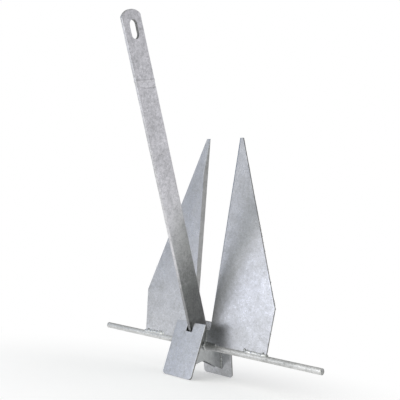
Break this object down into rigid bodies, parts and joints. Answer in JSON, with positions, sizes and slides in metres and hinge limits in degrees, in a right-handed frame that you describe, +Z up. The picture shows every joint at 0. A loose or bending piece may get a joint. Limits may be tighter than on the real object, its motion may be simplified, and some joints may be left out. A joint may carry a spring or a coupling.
{
  "type": "boat anchor",
  "caption": "Galvanised pivoting-fluke boat anchor: flat shank on a round stock, pointed flukes, and a crown of palms and cheeks that stops the shank.",
  "frame": {"origin": "on the ground, under the middle of the anchor's box, with the anchor standing on its crown plates", "axes": "+X along the stock to the right fluke's side, +Z up towards the fluke tips, -Y to the front, the side the shank leans to"},
  "size_m": [0.75, 0.4946, 0.8657],
  "materials": {
    "galvanised_steel": "hot-dip galvanised, matt grey with a soft mottle",
    "galvanised_weld": "hot-dip galvanised over rippled weld beads"
  },
  "bodies": {
    "crown": {"stock": "galvanised_steel", "right_fluke": "galvanised_steel", "left_fluke": "galvanised_steel", "rear_palm": "galvanised_steel", "front_palm": "galvanised_steel", "right_cheek": "galvanised_steel", "left_cheek": "galvanised_steel", "right_fluke_outer_weld": "galvanised_weld", "left_fluke_outer_weld": "galvanised_weld", "right_fluke_root_weld": "galvanised_weld", "left_fluke_root_weld": "galvanised_weld", "right_stock_weld": "galvanised_weld", "left_stock_weld": "galvanised_weld", "rear_palm_right_weld": "galvanised_weld", "rear_palm_left_weld": "galvanised_weld", "front_palm_left_weld": "galvanised_weld", "front_palm_right_weld": "galvanised_weld"},
    "shank": {"shank": "galvanised_steel"}
  },
  "joints": [
    {"name": "shank_pivot", "type": "hinge", "parent": "crown", "child": "shank", "pos_m": [0, 0.16302, 0.07943], "axis": [-1, 0, 0], "range_deg": [0, 53]}
  ]
}
